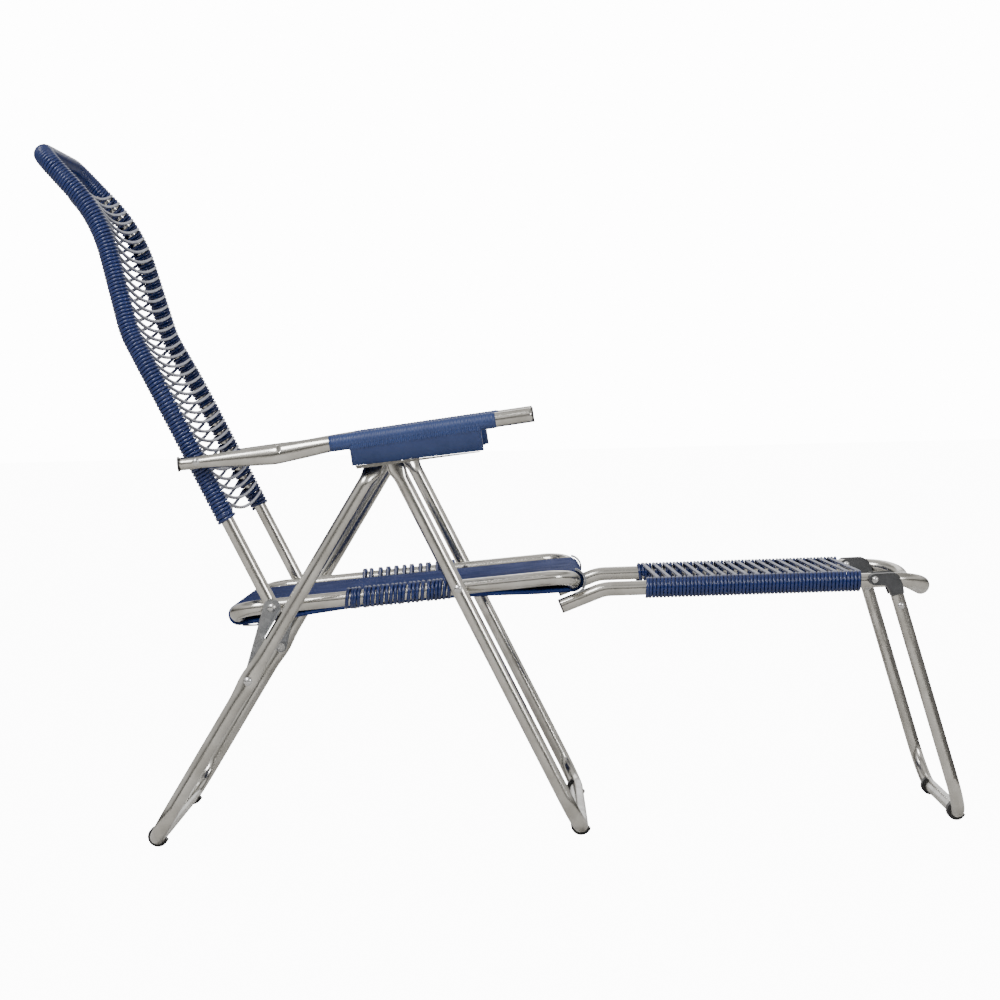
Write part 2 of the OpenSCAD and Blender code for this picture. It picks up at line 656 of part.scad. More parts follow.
seat_frame();
seat_cord_band();
seat_cross_cords();
leg_bolts();
seat_spacers();
seat_catch_wire();
front_leg_frame();
front_feet();
leg_pins();
rear_leg_frame();
rear_feet();
link_rivets();
link_plate_near();
link_plate_far();
link_caps_near();
link_caps_far();
backrest_bolts();
backrest_frame();
backrest_cord_sleeve();
backrest_cord_panel();
arm_rivet_near();
arm_rivet_far();
armrest_tube_near();
armrest_tube_far();
arm_plugs_near();
arm_plugs_far();
arm_pad_near();
arm_pad_far();
rack_near();
rack_far();
rack_strip_near();
rack_strip_far();
footrest_frame();
footrest_cord_sleeves();
footrest_cord_panel();
footrest_plugs();
footrest_hooks();
footrest_pins();
footrest_leg_frame();
elbow_near();
elbow_far();
elbow_rivets();
footrest_feet();
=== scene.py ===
"""Visual model of a folding lounger: one wound cord on a tube frame, with moulded grips and fittings."""

import json
import logging
import math
from dataclasses import dataclass, field
from enum import Enum

import bpy
import numpy as np
from mathutils import Matrix, Vector

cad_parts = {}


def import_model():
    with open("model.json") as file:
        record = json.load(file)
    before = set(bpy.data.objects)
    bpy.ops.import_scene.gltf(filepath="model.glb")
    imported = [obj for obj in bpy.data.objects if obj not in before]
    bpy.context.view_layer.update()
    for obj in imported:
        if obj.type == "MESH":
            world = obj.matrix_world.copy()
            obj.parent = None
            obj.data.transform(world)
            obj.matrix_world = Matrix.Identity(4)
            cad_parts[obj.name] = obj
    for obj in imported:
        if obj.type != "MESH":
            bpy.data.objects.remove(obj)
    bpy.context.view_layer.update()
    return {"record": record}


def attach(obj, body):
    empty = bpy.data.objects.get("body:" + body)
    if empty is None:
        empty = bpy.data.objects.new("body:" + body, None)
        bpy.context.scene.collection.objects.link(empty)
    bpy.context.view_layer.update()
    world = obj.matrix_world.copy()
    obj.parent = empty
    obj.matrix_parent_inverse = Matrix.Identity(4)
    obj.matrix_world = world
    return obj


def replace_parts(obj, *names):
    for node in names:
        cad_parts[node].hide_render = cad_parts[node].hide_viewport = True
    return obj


log = logging.getLogger("lounger")
TWO_PI = 2.0 * math.pi


def unit(v: np.ndarray) -> np.ndarray:
    """Each row of v divided by its own length."""
    return v / np.maximum(np.linalg.norm(v, axis=-1, keepdims=True), 1e-12)


def smooth_step(t: np.ndarray) -> np.ndarray:
    """The S-curve 3t^2 - 2t^3 of t, held inside 0 to 1."""
    t = np.clip(t, 0.0, 1.0)
    return t * t * (3.0 - 2.0 * t)


# ---------------------------------------------------------------- shape tools


@dataclass
class Spine:
    """A line of straight runs and round bends, sampled evenly enough to carry a section.

    Attributes:
        points: the samples, N by 3, in metres.
        s: the distance of each sample from the start.
    """

    points: np.ndarray
    s: np.ndarray

    @classmethod
    def rounded(cls, corners: np.ndarray, radii: list[float], step: float = 0.004) -> "Spine":
        """Round each corner with its own circular arc.

        An arc of radius R that turns by the angle a starts R tan(a/2) before its corner, and a
        sample on it is the arc's centre plus R times the turned start direction.

        Args:
            corners: the corner points, K by 3.
            radii: a bend radius for each inner corner, 0 for none.
            step: the distance between samples on an arc.

        Returns:
            The sampled spine.
        """
        out = [corners[0]]
        for i in range(1, len(corners) - 1):
            d1, d2 = unit(corners[i] - corners[i - 1]), unit(corners[i + 1] - corners[i])
            a = math.acos(float(np.clip(d1 @ d2, -1, 1)))
            radius = radii[i]
            start = corners[i] - d1 * radius * math.tan(a / 2)
            inner = unit(d2 - (d2 @ d1) * d1)
            t = np.linspace(0.0, a, max(4, int(radius * a / step)))[:, None]
            out.extend(start + inner * radius - inner * radius * np.cos(t) + d1 * radius * np.sin(t))
        out.append(corners[-1])
        raw = np.array(out)
        s = np.concatenate([[0.0], np.cumsum(np.linalg.norm(np.diff(raw, axis=0), axis=1))])
        keep = np.concatenate([[True], np.diff(s) > 1e-7])
        return cls(raw[keep], s[keep])

    @property
    def length(self) -> float:
        """The whole length of the spine."""
        return float(self.s[-1])

    def at(self, s: np.ndarray) -> np.ndarray:
        """The points at the distances s, by linear interpolation."""
        return np.stack([np.interp(s, self.s, self.points[:, k]) for k in range(3)], axis=-1)

    def tangent(self, s: np.ndarray, span: float = 0.002) -> np.ndarray:
        """The unit direction at each distance: the chord from a little before to a little after."""
        lo, hi = np.maximum(s - span, 0.0), np.minimum(s + span, self.length)
        return unit(self.at(hi) - self.at(lo))


@dataclass
class Shape:
    """Vertices and faces that are gathered before they become one mesh."""

    verts: list[np.ndarray] = field(default_factory=list)
    faces: list[np.ndarray] = field(default_factory=list)
    uvs: list[np.ndarray] = field(default_factory=list)
    count: int = 0

    def add(self, verts: np.ndarray, faces: list[np.ndarray], uvs: list[np.ndarray]) -> None:
        """Append one closed part, with its faces counted from its own first vertex.

        Args:
            verts: its vertices, N by 3.
            faces: its faces, in blocks that each have one number of corners.
            uvs: a corner table for each block of faces.
        """
        self.verts.append(verts)
        self.faces.extend(f + self.count for f in faces)
        self.uvs.extend(uvs)
        self.count += len(verts)

    def sweep(self, path: np.ndarray, normal: np.ndarray, wide: np.ndarray | float,
              thick: np.ndarray | float, sides: int = 8, power: float = 2.0) -> None:
        """Carry a rounded section along a path and close both ends with a point.

        A vertex is path + normal * wide * c + binormal * thick * s, where c and s are the cosine
        and sine of its angle, each raised to 2/power with its sign kept. power 2 is an ellipse.

        Args:
            path: N by 3 points.
            normal: N by 3 directions across the path.
            wide: the half size along the normal.
            thick: the half size along the binormal.
            sides: vertices round the section.
            power: squareness of the section.
        """
        n = len(path)
        t = unit(np.gradient(path, axis=0))
        nn = unit(normal - np.sum(normal * t, axis=1, keepdims=True) * t)
        bb = np.cross(t, nn)
        a = np.arange(sides) * TWO_PI / sides
        c = np.sign(np.cos(a)) * np.abs(np.cos(a)) ** (2.0 / power)
        s = np.sign(np.sin(a)) * np.abs(np.sin(a)) ** (2.0 / power)
        w = np.broadcast_to(np.asarray(wide, float), (n,))[:, None, None]
        h = np.broadcast_to(np.asarray(thick, float), (n,))[:, None, None]
        grid = path[:, None] + nn[:, None] * w * c[None, :, None] + bb[:, None] * h * s[None, :, None]
        verts = np.concatenate([grid.reshape(-1, 3), path[:1], path[-1:]])
        i, j = np.meshgrid(np.arange(n - 1), np.arange(sides), indexing="ij")
        k = (j + 1) % sides
        quads = np.stack([i * sides + j, i * sides + k, (i + 1) * sides + k, (i + 1) * sides + j], -1)
        dist = np.concatenate([[0.0], np.cumsum(np.linalg.norm(np.diff(path, axis=0), axis=1))])
        u0, u1 = j / sides, (j + 1) / sides
        uv = np.stack([np.stack([u0, dist[i]], -1), np.stack([u1, dist[i]], -1),
                       np.stack([u1, dist[i + 1]], -1), np.stack([u0, dist[i + 1]], -1)], 2)
        jj = np.arange(sides)
        kk = (jj + 1) % sides
        first = np.stack([np.full(sides, n * sides), kk, jj], -1)
        last = np.stack([np.full(sides, n * sides + 1), (n - 1) * sides + jj, (n - 1) * sides + kk], -1)
        flat = np.zeros((sides, 3, 2))
        self.add(verts, [quads.reshape(-1, 4), first, last], [uv.reshape(-1, 4, 2), flat, flat])

    def make(self, name: str, material: bpy.types.Material, body: str) -> bpy.types.Object:
        """Turn what was gathered into a smooth-shaded object that rides on a body.

        Args:
            name: the object's name.
            material: its material.
            body: the body that it moves with.

        Returns:
            The new object.
        """
        mesh = bpy.data.meshes.new(name)
        faces = [f for block in self.faces for f in block.tolist()]
        mesh.from_pydata(np.concatenate(self.verts).tolist(), [], faces)
        layer = mesh.uv_layers.new(name="UVMap")
        layer.data.foreach_set("uv", np.concatenate([u.reshape(-1) for u in self.uvs]).astype(np.float32))
        mesh.polygons.foreach_set("use_smooth", np.ones(len(mesh.polygons), bool))
        mesh.materials.append(material)
        mesh.validate()
        mesh.update()
        obj = bpy.data.objects.new(name, mesh)
        bpy.context.scene.collection.objects.link(obj)
        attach(obj, body)
        return obj


# ------------------------------------------------------------------- finishes


class Pattern(Enum):
    """How a metal finish varies over its surface."""

    DRAWN = "drawn"
    SPANGLE = "spangle"
    TURNED = "turned"


def fresh_material(name: str) -> tuple[bpy.types.Material, bpy.types.Node]:
    """A new node material and its Principled shader."""
    m = bpy.data.materials.new(name)
    m.use_nodes = True
    return m, m.node_tree.nodes["Principled BSDF"]


def handling_marks() -> bpy.types.NodeTree:
    """Shared group: cloudy wear and fine grain from two noises on object coordinates.

    Returns:
        The group. Its Mask is noise raised through a contrast map, and its Height adds fine grain.
    """
    found = bpy.data.node_groups.get("handling_marks")
    if found:
        return found
    g = bpy.data.node_groups.new("handling_marks", "ShaderNodeTree")
    for name, value in (("Cloud Scale", 12.0), ("Grain Scale", 700.0), ("Grain Share", 0.3)):
        g.interface.new_socket(name, in_out="INPUT", socket_type="NodeSocketFloat").default_value = value
    g.interface.new_socket("Mask", in_out="OUTPUT", socket_type="NodeSocketFloat")
    g.interface.new_socket("Height", in_out="OUTPUT", socket_type="NodeSocketFloat")
    n, link = g.nodes, g.links.new
    given, out = n.new("NodeGroupInput"), n.new("NodeGroupOutput")
    coords = n.new("ShaderNodeTexCoord")
    cloud, grain = n.new("ShaderNodeTexNoise"), n.new("ShaderNodeTexNoise")
    cloud.inputs["Detail"].default_value = 5.0
    grain.inputs["Detail"].default_value = 2.0
    link(coords.outputs["Object"], cloud.inputs["Vector"])
    link(coords.outputs["Object"], grain.inputs["Vector"])
    link(given.outputs["Cloud Scale"], cloud.inputs["Scale"])
    link(given.outputs["Grain Scale"], grain.inputs["Scale"])
    ramp = n.new("ShaderNodeMapRange")
    ramp.inputs["From Min"].default_value = 0.35
    ramp.inputs["From Max"].default_value = 0.68
    link(cloud.outputs["Fac"], ramp.inputs["Value"])
    link(ramp.outputs["Result"], out.inputs["Mask"])
    mix = n.new("ShaderNodeMix")
    mix.data_type = "FLOAT"
    link(given.outputs["Grain Share"], mix.inputs["Factor"])
    link(cloud.outputs["Fac"], mix.inputs["A"])
    link(grain.outputs["Fac"], mix.inputs["B"])
    link(mix.outputs["Result"], out.inputs["Height"])
    return g


@dataclass(frozen=True)
class Finish:
    """What every finish has: a name, a colour pair and a roughness range."""

    name: str
    light: tuple[float, float, float]
    dark: tuple[float, float, float]
    rough: tuple[float, float]
    cloud_scale: float = 12.0
    grain_scale: float = 700.0
    bump: float = 0.0003

    def start(self) -> tuple[bpy.types.Material, bpy.types.Node, bpy.types.Node]:
        """Build the shared part: colour and roughness between two values by the marks group.

        Returns:
            The material, its shader and the marks node.
        """
        m, shader = fresh_material(self.name)
        nodes, link = m.node_tree.nodes, m.node_tree.links.new
        marks = nodes.new("ShaderNodeGroup")
        marks.node_tree = handling_marks()
        marks.inputs["Cloud Scale"].default_value = self.cloud_scale
        marks.inputs["Grain Scale"].default_value = self.grain_scale
        tint = nodes.new("ShaderNodeMix")
        tint.data_type = "RGBA"
        tint.inputs["A"].default_value = (*self.light, 1.0)
        tint.inputs["B"].default_value = (*self.dark, 1.0)
        link(marks.outputs["Mask"], tint.inputs["Factor"])
        link(tint.outputs["Result"], shader.inputs["Base Color"])
        rough = nodes.new("ShaderNodeMapRange")
        rough.inputs["To Min"].default_value, rough.inputs["To Max"].default_value = self.rough
        link(marks.outputs["Mask"], rough.inputs["Value"])
        link(rough.outputs["Result"], shader.inputs["Roughness"])
        bump = nodes.new("ShaderNodeBump")
        bump.inputs["Distance"].default_value = self.bump
        bump.inputs["Strength"].default_value = 0.5
        link(marks.outputs["Height"], bump.inputs["Height"])
        link(bump.outputs["Normal"], shader.inputs["Normal"])
        return m, shader, tint


@dataclass(frozen=True)
class Metal(Finish):
    """Bare or plated metal."""

    pattern: Pattern = Pattern.DRAWN

    def build(self) -> bpy.types.Material:
        """Lay drawn streaks or crystal spangle over the shared part.

        Returns:
            The material.
        """
        m, shader, tint = self.start()
        nodes, link = m.node_tree.nodes, m.node_tree.links.new
        shader.inputs["Metallic"].default_value = 1.0
        coords = nodes.new("ShaderNodeTexCoord")
        over = nodes.new("ShaderNodeMix")
        over.data_type = "RGBA"
        over.blend_type = "MULTIPLY"
        if self.pattern is Pattern.SPANGLE:
            cells = nodes.new("ShaderNodeTexVoronoi")
            cells.inputs["Scale"].default_value = 150.0
            link(coords.outputs["Object"], cells.inputs["Vector"])
            tone = nodes.new("ShaderNodeMapRange")
            tone.inputs["To Min"].default_value, tone.inputs["To Max"].default_value = 0.62, 1.1
            link(cells.outputs["Color"], tone.inputs["Value"])
            link(tone.outputs["Result"], over.inputs["B"])
            over.inputs["Factor"].default_value = 0.75
        else:
            streak = nodes.new("ShaderNodeTexNoise")
            streak.inputs["Scale"].default_value = 90.0 if self.pattern is Pattern.DRAWN else 500.0
            streak.inputs["Detail"].default_value = 4.0
            link(coords.outputs["Object"], streak.inputs["Vector"])
            tone = nodes.new("ShaderNodeMapRange")
            tone.inputs["To Min"].default_value, tone.inputs["To Max"].default_value = 0.82, 1.06
            link(streak.outputs["Fac"], tone.inputs["Value"])
            link(tone.outputs["Result"], over.inputs["B"])
            over.inputs["Factor"].default_value = 0.6
        link(tint.outputs["Result"], over.inputs["A"])
        link(over.outputs["Result"], shader.inputs["Base Color"])
        return m


@dataclass(frozen=True)
class Plastic(Finish):
    """Moulded or extruded plastic."""

    coat: float = 0.0
    sheen_rough: float = 0.15
    level: float = 0.5

    def build(self) -> bpy.types.Material:
        """The material, with a clear gloss where the plastic was extruded."""
        m, shader, _ = self.start()
        shader.inputs["Coat Weight"].default_value = self.coat
        shader.inputs["Coat Roughness"].default_value = self.sheen_rough
        shader.inputs["Specular IOR Level"].default_value = self.level
        return m


@dataclass
class Palette:
    """Every material of the chair, built once."""

    tube: bpy.types.Material
    plate: bpy.types.Material
    bolt: bpy.types.Material
    cord: bpy.types.Material
    worn_cord: bpy.types.Material
    blue: bpy.types.Material
    black: bpy.types.Material
    grey: bpy.types.Material

    @classmethod
    def mix(cls) -> "Palette":
        """Build the eight finishes.

        Returns:
            The palette.
        """
        return cls(
            tube=Metal("galvanised_tube", (0.62, 0.605, 0.57), (0.46, 0.445, 0.41), (0.15, 0.25),
                       26.0, 900.0).build(),
            plate=Metal("galvanised_sheet", (0.40, 0.41, 0.42), (0.30, 0.31, 0.33), (0.34, 0.5),
                        30.0, 700.0, pattern=Pattern.SPANGLE).build(),
            bolt=Metal("plated_fastener", (0.66, 0.66, 0.66), (0.5, 0.5, 0.5), (0.2, 0.36),
                       160.0, 1200.0, 0.0001, pattern=Pattern.TURNED).build(),
            cord=Plastic("navy_cord", (0.007, 0.020, 0.105), (0.005, 0.016, 0.085), (0.26, 0.36),
                         40.0, 900.0, 0.0001, coat=0.15).build(),
            worn_cord=Plastic("worn_navy_cord", (0.008, 0.022, 0.115), (0.005, 0.015, 0.08), (0.5, 0.62),
                              30.0, 900.0, 0.0001, level=0.16).build(),
            blue=Plastic("blue_moulding", (0.024, 0.047, 0.155), (0.02, 0.04, 0.135), (0.38, 0.5),
                         30.0, 1400.0).build(),
            black=Plastic("black_moulding", (0.012, 0.012, 0.013), (0.02, 0.02, 0.021), (0.35, 0.5),
                          60.0).build(),
            grey=Plastic("charcoal_moulding", (0.03, 0.031, 0.034), (0.045, 0.046, 0.05), (0.4, 0.55),
                         60.0, 1500.0).build(),
        )


# ------------------------------------------------------------------ the cords


@dataclass
class Rail:
    """A tube that a cord is wound on, with its facing directions.

    Attributes:
        spine: its centre line.
        front: the direction that counts as the face of the cord panel, at each sample of the spine.
        out: +1 where Y grows away from the panel, -1 where it falls.
    """

    spine: Spine
    front: np.ndarray
    out: float

    def ring(self, s: np.ndarray, angle: np.ndarray, r: float) -> tuple[np.ndarray, np.ndarray]:
        """Points at the distance r from the centre line, and their outward directions.

        The angle starts at the back of the panel and passes the outer side, then the front:
        direction = -cos(angle) front + sin(angle) outer.

        Args:
            s: distances along the rail.
            angle: the angle at each of them.
            r: the distance from the centre line.

        Returns:
            The points and the outward directions.
        """
        f = np.stack([np.interp(s, self.spine.s, self.front[:, k]) for k in range(3)], -1)
        t = self.spine.tangent(s)
        f = unit(f - np.sum(f * t, -1, keepdims=True) * t)
        side = np.cross(t, f)
        side = side * np.sign(side[..., 1:2]) * self.out
        radial = -np.cos(angle)[..., None] * f + np.sin(angle)[..., None] * side
        return self.spine.at(s) + radial * r, radial


@dataclass
class Winding:
    """One cord wound back and forth between two rails.

    Each period has some turns on the near rail, a strand along the front, the same turns on the
    far rail, and a strand along the back that climbs to the next period.
    """

    near: Rail
    far: Rail
    r_tube: float
    r_cord: float = 0.0027
    per_turn: int = 14
    sides: int = 8

    def path(self, start: np.ndarray, turns: float, period: float, far_shift: float,
             sag: float = 0.0) -> tuple[np.ndarray, np.ndarray]:
        """The centre line of the cord and its outward directions.

        On a rail the angle grows by 2 pi times the turns while the cord moves along by
        turns * pitch. A strand is the straight line between its two ends.

        Args:
            start: the distance along the near rail where each period begins.
            turns: turns on each rail, an odd number of halves.
            period: the distance between periods along the rail.
            far_shift: how much further along the far rail its turns begin.
            sag: how far a strand hangs between the rails.

        Returns:
            The points and the directions, both N by 3.
        """
        n = int(self.per_turn * turns) + 1
        u = np.linspace(0.0, 1.0, n)
        pitch = period / (turns + 0.5)
        climb = u * turns * pitch
        r = self.r_tube + self.r_cord
        s0 = np.asarray(start)[:, None]
        a, an = self.near.ring(s0 + climb, np.broadcast_to(u * turns * TWO_PI, (len(start), n)), r)
        b, bn = self.far.ring(s0 + far_shift + climb,
                              np.broadcast_to(math.pi - u * turns * TWO_PI, (len(start), n)), r)
        w = np.linspace(0.0, 1.0, 12)[1:-1][None, :, None]
        hang = np.array([0.0, 0.0, -sag]) * (4 * w * (1 - w))
        front = a[:, -1:] * (1 - w) + b[:, :1] * w + hang
        fn = np.broadcast_to(an[:, -1:], front.shape)
        nxt = np.concatenate([a[1:, :1], a[-1:, :1]])
        back = b[:, -1:] * (1 - w) + nxt * w + hang
        bk = np.broadcast_to(bn[:, -1:], back.shape)
        pts = np.concatenate([a, front, b, back], 1)
        nrm = np.concatenate([an, fn, bn, bk], 1)
        drop = w.shape[1]
        return pts.reshape(-1, 3)[:-drop], nrm.reshape(-1, 3)[:-drop]

    def sleeve(self, rail: Rail, s0: float, s1: float, pitch: float) -> tuple[np.ndarray, np.ndarray]:
        """A plain coil on one rail from s0 to s1: the angle grows by 2 pi for each pitch.

        Args:
            rail: the tube that it is wound on.
            s0: the distance where it begins.
            s1: the distance where it ends.
            pitch: the distance between turns.

        Returns:
            The points and the outward directions.
        """
        turns = abs(s1 - s0) / pitch
        n = int(turns * self.per_turn) + 1
        u = np.linspace(0.0, 1.0, n)
        return rail.ring(s0 + (s1 - s0) * u, u * turns * TWO_PI, self.r_tube + self.r_cord)


@dataclass
class Backrest:
    """The backrest's cords: spaced strands between the side tubes and a coil round the top bar."""

    pal: Palette
    pivot: tuple[float, float] = (-0.3395, 0.35688)
    low: tuple[float, float] = (-0.5019, 0.690)
    waist: tuple[float, float] = (-0.5425, 0.7675)
    neck: tuple[float, float] = (-0.5877, 0.9410)
    top: tuple[float, float] = (-0.6795, 1.0435)
    half: float = 0.264
    top_half: float = 0.168
    r_tube: float = 0.010
    start: float = 0.150
    pitch: float = 0.0055
    sag: float = 0.016
    margin: float = 0.004
    coil_margin: float = 0.0045
    bend_gap: float = 0.034
    turns: float = 2.5
    coil_tightness: float = 1.12
    body: str = "backrest"

    def corners(self) -> np.ndarray:
        """The corners of the whole tube.

        Returns:
            The corner points, near side first.
        """
        pts = np.array([self.low, self.waist, self.neck, self.top])
        run = np.concatenate([[0.0], np.cumsum(np.linalg.norm(np.diff(pts, axis=0), axis=1))])
        y = self.half + (self.top_half - self.half) * run / run[-1]
        side = np.stack([np.concatenate([[self.pivot[0]], pts[:, 0]]), -np.concatenate([[self.half], y]),
                         np.concatenate([[self.pivot[1]], pts[:, 1]])], -1)
        return np.concatenate([side, side[::-1] * np.array([1.0, -1.0, 1.0])])

    def rails(self) -> tuple[Rail, Rail, Rail, float]:
        """The rails that the cord is wound on.

        The face direction is the tube's side-view direction turned by a quarter, and it stays the
        same past the top corner, where the side-view direction vanishes.

        Returns:
            The near rail, the far rail, the whole loop and the distance to the top corner's bend.
        """
        radii = [0, 0.26, 0.15, 0.26, 0.052, 0.052, 0.26, 0.15, 0.26, 0]
        whole = Spine.rounded(self.corners(), radii, 0.003)
        mid = int(np.searchsorted(whole.s, whole.length / 2))
        p = whole.points
        d = unit(np.gradient(p[:mid], axis=0))
        flat = np.stack([d[:, 0], np.zeros(mid), d[:, 2]], -1)
        ok = np.linalg.norm(flat, axis=1) > 0.3
        flat[~ok] = flat[ok][-1]
        flat = unit(flat)
        front = np.stack([flat[:, 2], np.zeros(mid), -flat[:, 0]], -1)
        near = Spine(p[:mid], whole.s[:mid])
        far = Spine(p[:mid] * np.array([1.0, -1.0, 1.0]), whole.s[:mid])
        rest = len(p) - mid
        spare = np.repeat(front[-1:], max(0, rest - mid), 0)
        both = np.concatenate([front, spare, front[::-1][-rest:]])[:len(p)]
        crosswise = np.abs(d[:, 1]) > 0.45
        bend = float(whole.s[np.argmax(crosswise)]) if np.any(crosswise) else near.length
        return Rail(near, front, -1.0), Rail(far, front, 1.0), Rail(whole, both, -1.0), bend

    def build(self) -> None:
        """Wind the strands, then carry the cord up both sides and along the top bar as one coil."""
        near, far, whole, bend = self.rails()
        w = Winding(near, far, self.r_tube)
        shape = Shape()
        period = (self.turns + 0.5) * self.pitch
        shift = self.turns * self.pitch
        count = int((bend - self.start - self.bend_gap) / period)
        starts = self.start + self.margin + period * np.arange(count)
        shape.sweep(*w.path(starts, self.turns, period, shift, self.sag), w.r_cord, w.r_cord, w.sides)
        for rail, extra in ((near, 0.0), (far, shift)):
            end = self.start + self.margin + extra
            lead_in = w.sleeve(rail, self.start - self.margin, end, self.pitch)
            shape.sweep(*lead_in, w.r_cord, w.r_cord, w.sides)
        open_cords = shape.make("backrest_cords", self.pal.cord, self.body)
        coil = Shape()
        near_end = self.start + self.coil_margin + period * count - 0.5 * self.pitch
        run = whole.spine.length - 2 * near_end - shift
        n = int(run / self.pitch * self.coil_tightness * w.per_turn)
        u = np.linspace(0.0, 1.0, n)
        pts, nrm = self.top_coil(whole, near_end + run * u, u * n / w.per_turn * TWO_PI, w)
        coil.sweep(pts, nrm, w.r_cord, w.r_cord, w.sides)
        top = coil.make("backrest_top_coil", self.pal.cord, self.body)
        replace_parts(open_cords, "backrest_cord_panel")
        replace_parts(top, "backrest_cord_sleeve")
        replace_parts(open_cords, "backrest_cord_sleeve")
        log.info("backrest: %d periods, coil of %d samples", count, n)

    @staticmethod
    def top_coil(rail: Rail, s: np.ndarray, angle: np.ndarray, w: Winding) -> tuple[np.ndarray, np.ndarray]:
        """A coil that passes the corners: its cross direction is tangent x front, with no sign flip.

        Args:
            rail: the whole loop.
            s: distances along it.
            angle: the angle at each of them.
            w: the winding that gives the radii.

        Returns:
            The points and the outward directions.
        """
        f = np.stack([np.interp(s, rail.spine.s, rail.front[:, k]) for k in range(3)], -1)
        t = rail.spine.tangent(s)
        f = unit(f - np.sum(f * t, -1, keepdims=True) * t)
        radial = np.cos(angle)[:, None] * f + np.sin(angle)[:, None] * np.cross(t, f)
        return rail.spine.at(s) + radial * (w.r_tube + w.r_cord), radial


@dataclass
class Footrest:
    """The footrest's cords, wound like the backrest's."""

    pal: Palette
    rear: tuple[float, float] = (0.152, 0.3666)
    front: tuple[float, float] = (0.639, 0.371)
    half: float = 0.182
    low: float = 0.216
    high: float = 0.541
    r_tube: float = 0.011
    pitch: float = 0.00558
    margin: float = 0.0045
    turns: float = 2.5
    body: str = "footrest"

    def build(self) -> None:
        """Wind the cord from the seat end to the foot end."""
        a, b = np.array(self.rear), np.array(self.front)
        d = unit(b - a)
        x = np.array([self.low, self.high])
        z = a[1] + (x - a[0]) * d[1] / d[0]
        line = np.stack([x, np.zeros(2), z], -1)
        s = np.array([0.0, float(np.linalg.norm(line[1] - line[0]))])
        up = np.repeat(np.array([[-d[1], 0.0, d[0]]]), 2, 0)
        near = Rail(Spine(line - [0, self.half, 0], s), up, -1.0)
        far = Rail(Spine(line + [0, self.half, 0], s), up, 1.0)
        w = Winding(near, far, self.r_tube)
        period = (self.turns + 0.5) * self.pitch
        shift = self.turns * self.pitch - period / 2
        count = int((s[1] - 0.005) / period)
        shape = Shape()
        starts = self.margin + period * np.arange(count)
        shape.sweep(*w.path(starts, self.turns, period, shift), w.r_cord, w.r_cord, w.sides)
        for rail, end in ((near, self.margin), (far, self.margin + shift)):
            shape.sweep(*w.sleeve(rail, 0.0, end, self.pitch), w.r_cord, w.r_cord, w.sides)
        cords = shape.make("footrest_cords", self.pal.cord, self.body)
        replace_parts(cords, "footrest_cord_sleeves", "footrest_cord_panel")
        log.info("footrest: %d periods", count)


